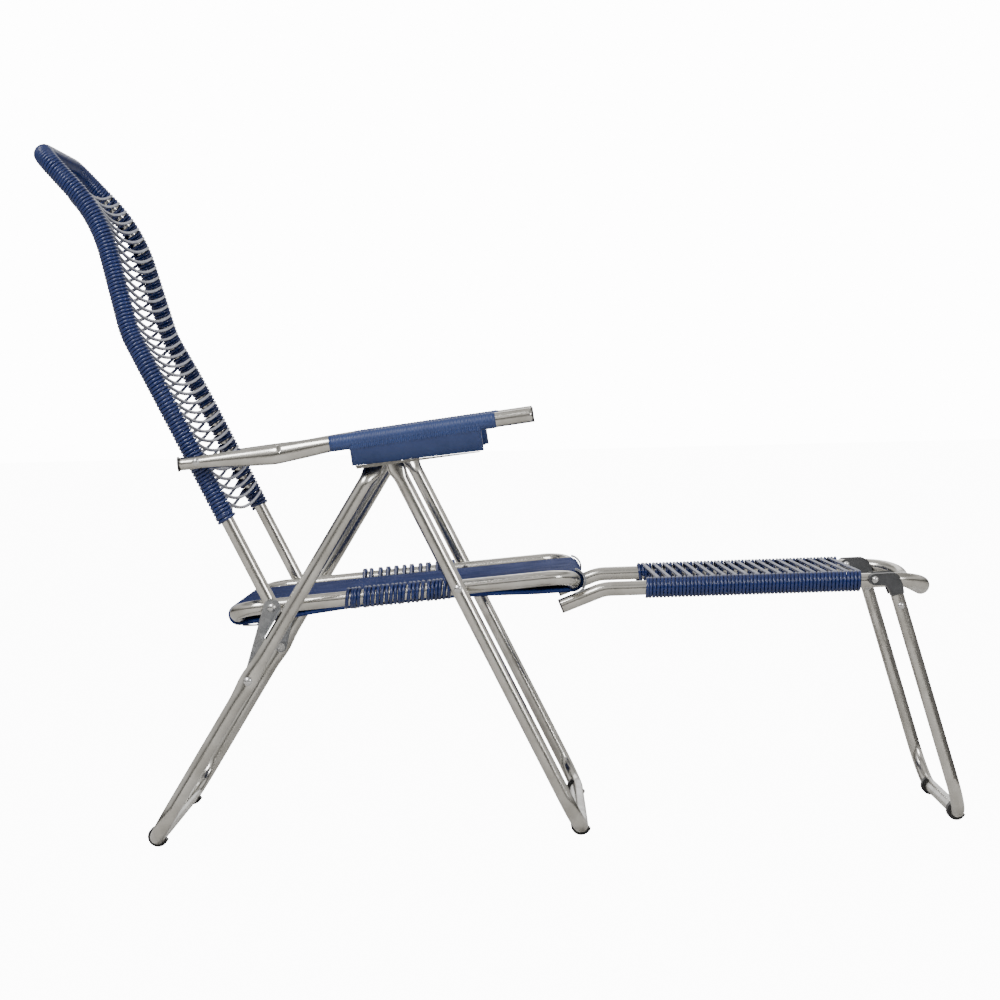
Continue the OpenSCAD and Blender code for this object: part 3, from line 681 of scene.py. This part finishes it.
@dataclass
class Seat:
    """The seat's lengthwise band and the crosswise cords woven inside it."""

    pal: Palette
    bolt: tuple[float, float] = (-0.065, 0.378)
    slope: float = math.tan(math.radians(4.4))
    rear_x: float = -0.399
    front_x: float = 0.106
    drop: float = 0.012
    half: float = 0.237
    band_half: float = 0.1765
    cross: tuple[float, float] = (-0.237, -0.075)
    r_tube: float = 0.011
    r_cord: float = 0.0027
    strands: int = 12
    lower_lift: float = 0.009
    dive: float = 0.052
    body: str = "seat"

    def height(self, x: np.ndarray | float) -> np.ndarray | float:
        """The height of a side tube's axis at x."""
        return self.bolt[1] + (x - self.bolt[0]) * self.slope

    def band(self) -> bpy.types.Object:
        """The lengthwise loops: each is half a turn on each bar and two long strands.

        Along one loop the angle is piecewise: on a bar it grows evenly by pi, and on a strand the
        point moves straight between the bars, while Y grows by one pitch for the whole loop. The
        lower strands are lifted in the middle, by an S-curve from each end.

        Returns:
            The band's object.
        """
        pitch = 2 * self.r_cord + 0.0001
        rows = int(2 * self.band_half / pitch)
        a = np.array([self.rear_x, self.height(self.rear_x) - self.drop])
        b = np.array([self.front_x, self.height(self.front_x) - self.drop])
        d = unit(b - a)
        n = np.array([-d[1], d[0]])
        r = self.r_tube + self.r_cord
        th = np.linspace(0, math.pi, 10)[:, None]
        w = np.linspace(0, 1, 10)[1:-1, None]
        rng = np.random.default_rng(7)
        top = (a + n * r) * (1 - w) + (b + n * r) * w
        front = b + r * (np.cos(th) * n + np.sin(th) * d)
        low = (b - n * r) * (1 - w) + (a - n * r) * w
        rear = a + r * (-np.cos(th) * n - np.sin(th) * d)
        loop = np.concatenate([top, front, low, rear])
        nrm = np.concatenate([np.repeat(n[None], len(top), 0), np.cos(th) * n + np.sin(th) * d,
                              np.repeat(-n[None], len(low), 0), -np.cos(th) * n - np.sin(th) * d])
        lift = smooth_step(np.minimum(w[:, 0], 1 - w[:, 0]) * 2.6)
        share = np.concatenate([np.zeros(len(top) + len(front)), lift, np.zeros(len(rear))])
        m = len(loop)
        turn = np.arange(rows)[:, None]
        y = -self.band_half + pitch * (turn + np.arange(m)[None] / m)
        rise = self.lower_lift * share[None] * (0.9 + 0.2 * rng.random((rows, 1)))
        pts = np.stack([loop[None, :, 0] + 0 * y, y, loop[None, :, 1] + rise], -1).reshape(-1, 3)
        dirs = np.stack([nrm[None, :, 0] + 0 * y, 0 * y, nrm[None, :, 1] + 0 * y], -1).reshape(-1, 3)
        shape = Shape()
        shape.sweep(pts, dirs, self.r_cord, self.r_cord, 8)
        return shape.make("seat_long_cords", self.pal.worn_cord, self.body)

    def weave(self) -> bpy.types.Object:
        """The crosswise cords: turns on each side tube, then a strand that dives inside the band.

        A strand's height eases from the tube's own radius to the level inside the band over the
        52 mm next to each tube, by the S-curve.

        Returns:
            The woven cords' object.
        """
        count = self.strands
        xs = np.linspace(self.cross[0] + 0.004, self.cross[1] - 0.012, count)
        step = xs[1] - xs[0]
        rng = np.random.default_rng(3)
        r = self.r_tube + self.r_cord
        n = 22
        u = np.linspace(0, 1, n)[None]
        wob = rng.normal(0, 0.0006, (count, 1))

        def coil(sign: float, share: float) -> tuple[np.ndarray, np.ndarray]:
            """One and a half turns on the tube at Y of that sign, spread over a share of the step.

            Args:
                sign: -1 for the near tube, 1 for the far one.
                share: the part of the step that the turns take.

            Returns:
                The points and the outward directions.
            """
            ang = u * 1.5 * TWO_PI if sign < 0 else math.pi - u * 1.5 * TWO_PI
            x = xs[:, None] + wob + u * step * share + 0.0007 * np.sin(ang * 0.5 + wob * 4000)
            rad = np.stack([0 * x, np.sin(ang) * sign + 0 * x, -np.cos(ang) + 0 * x], -1)
            c = np.stack([x, 0 * x + sign * self.half, self.height(x)], -1)
            return c + rad * r, rad

        a, an = coil(-1.0, 0.75)
        b, bn = coil(1.0, 0.34)
        w = np.linspace(0, 1, 26)[1:-1][None, :, None]
        deep = smooth_step(np.minimum(w, 1 - w) * 2 * self.half / self.dive)
        over = a[:, -1:] * (1 - w) + b[:, :1] * w
        over = over + deep * np.array([0, 0, -(r + 0.0062)])
        nxt = np.concatenate([a[1:, :1], a[-1:, :1]])
        under = b[:, -1:] * (1 - w) + nxt * w
        under = under + deep * np.array([0, 0, r - 0.0175])
        up = np.array([0.0, 0.0, 1.0])
        pts = np.concatenate([a, over, b, under], 1)
        nrm = np.concatenate([an, np.broadcast_to(up, over.shape), bn, np.broadcast_to(-up, under.shape)], 1)
        drop = w.shape[1]
        shape = Shape()
        shape.sweep(pts.reshape(-1, 3)[:-drop], nrm.reshape(-1, 3)[:-drop], self.r_cord, self.r_cord, 8)
        return shape.make("seat_woven_cords", self.pal.cord, self.body)

    def build(self) -> None:
        """Build both layers."""
        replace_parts(self.band(), "seat_cord_band")
        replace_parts(self.weave(), "seat_cross_cords")
        log.info("seat cords built")


# ------------------------------------------------------------- legs and grips


@dataclass
class LegFrame:
    """A U-shaped leg tube whose two tops are pressed flat and rounded at the pivot."""

    pal: Palette
    name: str
    node: str
    body: str
    foot: tuple[float, float]
    half: float
    tab_y: float
    corner: float
    flat_len: float
    swell: float = 0.0
    swell_at: float = 0.0
    apex: tuple[float, float] = (-0.1656, 0.5877)
    r: float = 0.011
    tab_r: float = 0.0105
    sheet: float = 0.0016

    def build(self) -> None:
        """Sweep the tube, squeezing its section towards each top.

        With e the distance from the end of the tab, the half thickness eases from the sheet's to
        the tube's radius over the 45 mm that begin at 0.55 of the flat length; the half width
        follows the round tip sqrt(R^2 - (R - e)^2), then eases to the tube's radius; and the centre
        shifts sideways from the tab's plane to the tube's.
        """
        apex, foot = np.array(self.apex), np.array(self.foot)
        d = unit(foot - apex)
        tip = apex - d * self.tab_r
        corners = np.array([[tip[0], -self.half, tip[1]], [foot[0], -self.half, foot[1]],
                            [foot[0], self.half, foot[1]], [tip[0], self.half, tip[1]]])
        spine = Spine.rounded(corners, [0, self.corner, self.corner, 0], 0.004)
        fine = np.concatenate([np.linspace(0, 0.012, 14), np.linspace(0.014, 0.11, 40)])
        total = spine.length
        inner = spine.s[(spine.s > 0.111) & (spine.s < total - 0.111)]
        extra = np.linspace(0.112, 0.45, 60)
        s = np.unique(np.concatenate([fine, inner, extra, total - extra, total - fine]))
        e = np.minimum(s, total - s)
        ease = smooth_step((e - self.flat_len * 0.55) / 0.045)
        thick = self.sheet + (self.r - self.sheet) * ease
        tab = np.sqrt(np.maximum(self.tab_r ** 2 - (self.tab_r - np.minimum(e, self.tab_r)) ** 2, 1e-9))
        spread = 0.0028 * np.sin(math.pi * np.clip(ease, 0, 1)) ** 2
        wide = np.where(e < self.tab_r, tab, self.tab_r + (self.r - self.tab_r) * ease + spread)
        if self.swell:
            bump = np.exp(-((e - self.swell_at) / 0.022) ** 2)
            wide = wide + self.swell * bump
            thick = thick - self.swell * 0.8 * bump
        path = spine.at(s)
        sign = np.where(s < total / 2, -1.0, 1.0)
        path[:, 1] += sign * (self.tab_y - self.half) * (1 - ease)
        side = np.repeat([[-d[1], 0.0, d[0]]], len(s), 0)
        across = spine.tangent(s)
        side = np.cross(np.cross(across, side), across)
        shape = Shape()
        shape.sweep(path, side, wide, thick, 28)
        obj = shape.make(self.name, self.pal.tube, self.body)
        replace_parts(obj, self.node)
        log.info("%s built", self.name)


@dataclass
class Armrest:
    """One armrest: an oval-pressed tube, the ribbed grip and the rack box under it."""

    pal: Palette
    side: float
    suffix: str
    rear: tuple[float, float] = (-0.468, 0.5717)
    bend: tuple[float, float] = (-0.328, 0.5815)
    mid: tuple[float, float] = (-0.248, 0.5958)
    front: tuple[float, float] = (0.04983, 0.63186)
    rear_y: float = 0.291
    grip_y: float = 0.298
    ribs: int = 46
    pad: tuple[float, float] = (0.001, 0.246)
    box: tuple[float, float] = (0.028, 0.224)
    box_y: tuple[float, float] = (0.264, 0.3085)
    depth: tuple[float, float] = (0.036, 0.0415)
    wall: float = 0.0025
    draft: float = 0.0012
    shoulders: int = 34

    @property
    def body(self) -> str:
        """The body that this armrest rides on."""
        return f"armrest_{self.suffix}"

    def tube(self) -> None:
        """The tube, pressed taller in the middle: its half height follows a table along X."""
        pts = np.array([[self.rear[0], self.side * self.rear_y, self.rear[1]],
                        [self.bend[0], self.side * self.rear_y, self.bend[1]],
                        [self.mid[0], self.side * self.grip_y, self.mid[1]],
                        [self.front[0], self.side * self.grip_y, self.front[1]]])
        spine = Spine.rounded(pts, [0, 0.12, 0.12, 0], 0.003)
        s = np.unique(np.concatenate([np.linspace(0, spine.length, 110), spine.s]))
        p = spine.at(s)
        stations = [-0.468, -0.44, -0.39, -0.328, -0.28, -0.23, 0.06]
        tall = np.interp(p[:, 0], stations, [0.0092, 0.0094, 0.0118, 0.0138, 0.0128, 0.0111, 0.0110])
        deep = np.interp(p[:, 0], stations, [0.0110, 0.0108, 0.0098, 0.0085, 0.0092, 0.0108, 0.0110])
        up = np.repeat([[0.0, 0.0, 1.0]], len(s), 0)
        shape = Shape()
        shape.sweep(p, up, tall, deep, 32)
        obj = shape.make(f"armrest_pressed_tube_{self.suffix}", self.pal.tube, self.body)
        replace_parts(obj, f"armrest_tube_{self.suffix}")

    def grip(self) -> bpy.types.Object:
        """A smooth sleeve with half hoops over its top: a hoop's point turns by 210 degrees.

        Returns:
            The sleeve's object.
        """
        a = np.array([self.mid[0], self.side * self.grip_y, self.mid[1]])
        b = np.array([self.front[0], self.side * self.grip_y, self.front[1]])
        d = unit(b - a)
        n = np.array([-d[2], 0.0, d[0]])
        across = np.array([0.0, -1.0, 0.0])
        u = np.linspace(0.0, 1.0, 40)
        x = self.pad[0] + (self.pad[1] - self.pad[0]) * u
        end = np.minimum(u, 1.0 - u) * (self.pad[1] - self.pad[0])
        r = 0.0119 - 0.0004 * (1.0 - smooth_step(end / 0.002))
        shape = Shape()
        shape.sweep(a + d * x[:, None], np.repeat(n[None], len(u), 0), r, r, 36)
        pitch = (self.pad[1] - self.pad[0] - 0.004) / self.ribs
        th = np.radians(np.linspace(-15.0, 195.0, 19))[:, None]
        for k in range(self.ribs):
            centre = a + d * (self.pad[0] + 0.002 + pitch * (k + 0.5))
            out = np.cos(th) * across + np.sin(th) * n
            fade = 0.0010 * smooth_step(np.minimum(th[:, 0] - th[0, 0], th[-1, 0] - th[:, 0]) * 5.0) + 0.0002
            shape.sweep(centre + out * 0.0113, np.repeat(d[None], len(th), 0), 0.0020, fade, 8)
        return shape.make(f"grip_sleeve_{self.suffix}", self.pal.blue, self.body)

    def rack_box(self) -> bpy.types.Object:
        """The moulded box: two long walls, two rounded ends and a roof, with shoulder ribs outside.

        The rim is a rounded rectangle in plan. Each ring of the shell is that rim at a height that
        runs from the roof to the sloping lower edge, and the walls draw in slightly towards it.

        Returns:
            The box's object.
        """
        a2, b2 = np.array(self.mid), np.array(self.front)
        d = unit(b2 - a2)
        n = np.array([-d[1], d[0]])
        x0, x1 = self.box
        y0, y1 = self.box_y

        def ring(inset: float, z: float | None, corner: float) -> tuple[np.ndarray, np.ndarray]:
            """Rounded rectangle in plan: a quarter circle of the corner radius at each corner.

            Args:
                inset: how far the ring is drawn in from the box's sides.
                z: its height over the tube's axis, or None for the sloping lower edge.
                corner: the radius of its corners.

            Returns:
                The plan, M by 2, and the heights.
            """
            th = np.linspace(0, math.pi / 2, 7)
            parts = []
            corners = ((x1, y1, 1, 1), (x0, y1, -1, 1), (x0, y0, -1, -1), (x1, y0, 1, -1))
            for k, (cx, cy, sx, sy) in enumerate(corners):
                ang = th + k * math.pi / 2
                parts.append(np.stack([cx - sx * (inset + corner) + corner * np.cos(ang),
                                       cy - sy * (inset + corner) + corner * np.sin(ang)], -1))
            plan = np.concatenate(parts)
            if z is None:
                rear, fall = self.depth[0], self.depth[1] - self.depth[0]
                return plan, -(rear + fall * (plan[:, 0] - x0) / (x1 - x0))
            return plan, np.full(len(plan), z)

        inner = self.draft + self.wall
        rings = [ring(*row) for row in (
            (0.0026, 0.007, 0.0035), (0.0018, 0.004, 0.0036), (0.0, -0.006, 0.006), (0.0, -0.012, 0.006),
            (self.draft, -0.0132, 0.006), (self.draft, None, 0.006),
            (inner, None, 0.004), (inner, -0.0005, 0.003))]
        m = len(rings[0][0])
        verts = []
        for plan, h in rings:
            xz = a2 + plan[:, :1] * d + h[:, None] * n
            verts.append(np.stack([xz[:, 0], self.side * plan[:, 1], xz[:, 1]], -1))
        grid = np.concatenate(verts)
        i, j = np.meshgrid(np.arange(len(rings) - 1), np.arange(m), indexing="ij")
        k = (j + 1) % m
        quads = np.stack([i * m + j, (i + 1) * m + j, (i + 1) * m + k, i * m + k], -1).reshape(-1, 4)
        top = np.arange(m)[None]
        roof = ((len(rings) - 1) * m + np.arange(m)[::-1])[None]
        if self.side < 0:
            quads, top, roof = quads[:, ::-1], top[:, ::-1], roof[:, ::-1]
        shape = Shape()
        cap = np.zeros((1, m, 2))
        shape.add(grid, [quads, top, roof], [np.zeros((len(quads), 4, 2)), cap, cap])
        for x in np.linspace(x0 + 0.006, x1 - 0.006, self.shoulders):
            base = a2 + d * x
            p0, p1 = base + n * -0.001, base + n * -0.0125
            path = np.linspace(0, 1, 6)[:, None]
            xz = p0 * (1 - path) + p1 * path
            line = np.stack([xz[:, 0], np.full(6, self.side * (y1 + 0.0002)), xz[:, 1]], -1)
            shape.sweep(line, np.repeat([[d[0], 0.0, d[1]]], 6, 0), 0.0013, 0.0011, 6)
        return shape.make(f"rack_box_{self.suffix}", self.pal.blue, self.body)

    def build(self) -> None:
        """Build the three pieces of this armrest."""
        self.tube()
        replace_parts(self.grip(), f"arm_pad_{self.suffix}")
        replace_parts(self.rack_box(), f"arm_pad_{self.suffix}")
        log.info("armrest %s built", self.suffix)


# ------------------------------------------------------------ CAD nodes, room


@dataclass
class Fittings:
    """Gives each CAD node that stays visible its finish."""

    pal: Palette

    def dress(self, record: dict) -> None:
        """Assign a material by the node's slot in the record.

        Args:
            record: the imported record.
        """
        finish = {"galvanised_tube": self.pal.tube, "galvanised_plate": self.pal.plate,
                  "fastener": self.pal.bolt, "cord": self.pal.cord, "black_plastic": self.pal.black,
                  "blue_plastic": self.pal.blue, "grey_plastic": self.pal.grey}
        for part in record["subparts"]:
            obj = bpy.data.objects.get(part["node"])
            if obj is None or obj.type != "MESH":
                log.warning("no object for node %s", part["node"])
                continue
            material = finish[part["material_slot"]]
            if obj.material_slots:
                for item in obj.material_slots:
                    item.material = material
            else:
                obj.data.materials.append(material)
        log.info("dressed %d nodes", len(record["subparts"]))


@dataclass
class Studio:
    """Floor, lights and camera."""

    place: tuple[float, float, float] = (0.040, -4.490, 0.660)
    lens: float = 103.35
    yaw: float = 0.00953
    pitch: float = 0.03618
    roll: float = -0.02429
    white: float = 14.0
    sheet: float = 1.3

    def floor(self) -> None:
        """A large sheet under the chair: near white to the camera, warm grey in reflections."""
        mesh = bpy.data.meshes.new("floor")
        k, z = 30.0, -0.0005
        mesh.from_pydata([(-k, -k, z), (k, -k, z), (k, k, z), (-k, k, z)], [], [(0, 1, 2, 3)])
        obj = bpy.data.objects.new("floor", mesh)
        bpy.context.scene.collection.objects.link(obj)
        m, shader = fresh_material("pale_floor")
        shader.inputs["Base Color"].default_value = (0.62, 0.61, 0.59, 1.0)
        shader.inputs["Roughness"].default_value = 0.9
        nodes, link = m.node_tree.nodes, m.node_tree.links.new
        path, share, both, glow = (nodes.new(kind) for kind in (
            "ShaderNodeLightPath", "ShaderNodeMath", "ShaderNodeMixShader", "ShaderNodeEmission"))
        share.operation = "MULTIPLY"
        share.inputs[1].default_value = 0.88
        glow.inputs["Strength"].default_value = self.white
        link(path.outputs["Is Camera Ray"], share.inputs[0])
        link(share.outputs[0], both.inputs[0])
        link(shader.outputs[0], both.inputs[1])
        link(glow.outputs[0], both.inputs[2])
        link(both.outputs[0], nodes["Material Output"].inputs["Surface"])
        mesh.materials.append(m)

    def lights(self) -> None:
        """The surround and the lamps.

        The surround is white to the camera. In reflections it is dark low down, bright above, and
        has a bright sheet behind the chair.
        """
        world = bpy.data.worlds.new("surround")
        world.use_nodes = True
        nodes, link = world.node_tree.nodes, world.node_tree.links.new
        seen, lit = nodes["Background"], nodes.new("ShaderNodeBackground")
        seen.inputs["Color"].default_value = (1.0, 1.0, 1.0, 1.0)
        seen.inputs["Strength"].default_value = self.white
        coords, split, ramp, path, both = (nodes.new(kind) for kind in (
            "ShaderNodeTexCoord", "ShaderNodeSeparateXYZ", "ShaderNodeValToRGB", "ShaderNodeLightPath",
            "ShaderNodeMixShader"))
        link(coords.outputs["Generated"], split.inputs[0])
        link(split.outputs["Z"], ramp.inputs["Fac"])
        stops = ((0.0, 0.06), (0.12, 0.12), (0.30, 0.75), (0.50, 1.0), (0.72, 0.35), (1.0, 0.9))
        while len(ramp.color_ramp.elements) < len(stops):
            ramp.color_ramp.elements.new(0.5)
        for stop, (place, tone) in zip(ramp.color_ramp.elements, stops):
            stop.position = place
            stop.color = (tone, tone * 0.985, tone * 0.955, 1.0)
        sheet, lighter = nodes.new("ShaderNodeMapRange"), nodes.new("ShaderNodeMix")
        sheet.inputs["From Min"].default_value, sheet.inputs["From Max"].default_value = 0.86, 0.97
        sheet.inputs["To Max"].default_value = self.sheet
        lighter.data_type = "RGBA"
        lighter.blend_type = "LIGHTEN"
        lighter.inputs["Factor"].default_value = 1.0
        link(split.outputs["Y"], sheet.inputs["Value"])
        link(ramp.outputs["Color"], lighter.inputs["A"])
        link(sheet.outputs["Result"], lighter.inputs["B"])
        link(lighter.outputs["Result"], lit.inputs["Color"])
        lit.inputs["Strength"].default_value = 1.0
        link(path.outputs["Is Camera Ray"], both.inputs[0])
        link(lit.outputs[0], both.inputs[1])
        link(seen.outputs[0], both.inputs[2])
        link(both.outputs[0], nodes["World Output"].inputs["Surface"])
        bpy.context.scene.world = world
        for name, spot, aim, size, power in (
            ("key", (-1.6, -2.6, 3.2), (0.0, 0.0, 0.4), 1.6, 130.0),
            ("fill", (2.6, -2.6, 1.6), (0.1, 0.0, 0.4), 0.9, 45.0),
            ("rim", (0.4, 2.6, 2.8), (0.0, 0.0, 0.5), 1.8, 18.0),
        ):
            data = bpy.data.lights.new(name, "AREA")
            data.size, data.energy = size, power
            obj = bpy.data.objects.new(name, data)
            obj.location = spot
            obj.rotation_euler = (Vector(aim) - Vector(spot)).to_track_quat("-Z", "Y").to_euler()
            bpy.context.scene.collection.objects.link(obj)

    def camera(self) -> None:
        """The camera: forward from yaw and pitch, then rolled about that direction."""
        cy, sy = math.cos(self.yaw), math.sin(self.yaw)
        cp, sp = math.cos(self.pitch), math.sin(self.pitch)
        forward = Vector((-sy * cp, cy * cp, -sp))
        right = Vector((cy, sy, 0.0))
        up = right.cross(forward)
        cr, sr = math.cos(self.roll), math.sin(self.roll)
        r2, u2 = right * cr + up * sr, up * cr - right * sr
        data = bpy.data.cameras.new("camera")
        data.lens, data.sensor_width = self.lens, 36.0
        data.clip_end = 100.0
        obj = bpy.data.objects.new("camera", data)
        turn = Matrix((r2, u2, -forward)).transposed().to_4x4()
        obj.matrix_world = Matrix.Translation(Vector(self.place)) @ turn
        bpy.context.scene.collection.objects.link(obj)
        bpy.context.scene.camera = obj

    def build(self) -> None:
        """Build the room."""
        self.floor()
        self.lights()
        self.camera()
        log.info("studio built")


def main() -> None:
    """Load the frame and build the chair around it."""
    logging.basicConfig(level=logging.INFO, format="%(name)s: %(message)s")
    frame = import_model()
    pal = Palette.mix()
    Studio().build()
    Fittings(pal).dress(frame["record"])
    Seat(pal).build()
    Backrest(pal).build()
    Footrest(pal).build()
    LegFrame(pal, "front_leg_tube", "front_leg_frame", "front_legs", (0.108903, 0.0155), 0.265, 0.2725, 0.055,
             0.040).build()
    LegFrame(pal, "rear_leg_tube", "rear_leg_frame", "rear_legs", (-0.523, 0.0155), 0.291, 0.2811, 0.060,
             0.052, 0.0028, 0.4069).build()
    for side, suffix in ((-1.0, "near"), (1.0, "far")):
        Armrest(pal, side, suffix).build()


if __name__ == "__main__":
    main()
